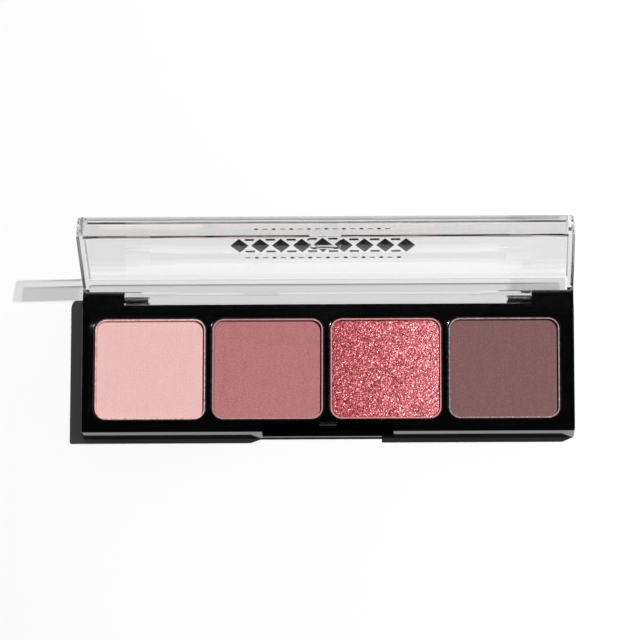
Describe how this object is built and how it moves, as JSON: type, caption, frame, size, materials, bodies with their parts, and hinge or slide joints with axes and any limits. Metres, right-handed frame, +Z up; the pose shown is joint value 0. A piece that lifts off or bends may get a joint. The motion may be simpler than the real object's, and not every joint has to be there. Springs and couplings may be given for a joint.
{
  "type": "eyeshadow palette",
  "caption": "Slim black eyeshadow palette with pressed powders in metal pans and a clear hinged lid that opens just past upright.",
  "frame": {"origin": "middle of the underside, on the surface the palette rests on", "axes": "+X to the right along the row of pans, +Y from the thumb notch to the hinge, +Z up"},
  "size_m": [0.1164, 0.0438, 0.0375],
  "materials": {
    "case_black": "glossy",
    "clear_lid": "transparent glossy",
    "pin_steel": "polished",
    "pan_metal": "satin",
    "powder_light_pink": "matte",
    "powder_dusty_rose": "matte",
    "powder_red_glitter": "sparkling",
    "powder_mauve_brown": "matte",
    "pad_adhesive": "matte",
    "label_paper": "satin"
  },
  "bodies": {
    "base": {"base_case": "case_black", "pan_tray": "case_black", "hinge_pin_left": "pin_steel", "hinge_pin_right": "pin_steel", "underside_label": "label_paper", "pan_1": "pan_metal", "powder_1": "powder_light_pink", "pan_pad_1": "pad_adhesive", "pan_2": "pan_metal", "powder_2": "powder_dusty_rose", "pan_pad_2": "pad_adhesive", "pan_3": "pan_metal", "powder_3": "powder_red_glitter", "pan_pad_3": "pad_adhesive", "pan_4": "pan_metal", "powder_4": "powder_mauve_brown", "pan_pad_4": "pad_adhesive"},
    "lid": {"lid": "clear_lid"}
  },
  "joints": [
    {"name": "lid_hinge", "type": "hinge", "parent": "base", "child": "lid", "pos_m": [0, 0.01553, 0.0048], "axis": [1, 0, 0], "range_deg": [0, 96.4]}
  ]
}
